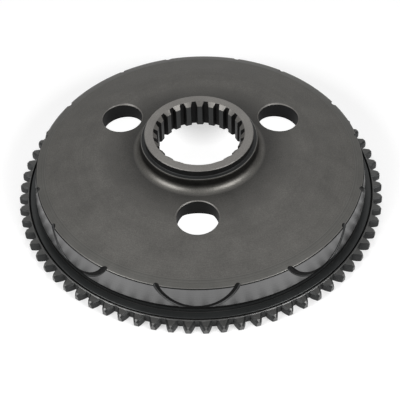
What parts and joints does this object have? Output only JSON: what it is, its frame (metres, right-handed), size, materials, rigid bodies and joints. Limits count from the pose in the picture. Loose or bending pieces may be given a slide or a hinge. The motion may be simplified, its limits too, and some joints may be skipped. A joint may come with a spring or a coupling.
{
  "type": "synchronizer cone",
  "caption": "Dished steel synchronizer cone with an outer friction cone, curved oil grooves, a ring of dog teeth, round web holes and a splined hub.",
  "frame": {"origin": "centre of the toothed ring's flat lower face, on the axis of the cone", "axes": "+Z along the cone's axis from the lower face to the hub; -Y from the axis through the centre of one web hole"},
  "size_m": [0.2416, 0.2414, 0.0534],
  "materials": {
    "steel": "satin"
  },
  "bodies": {
    "root": {"synchronizer_cone": "steel"}
  },
  "joints": []
}
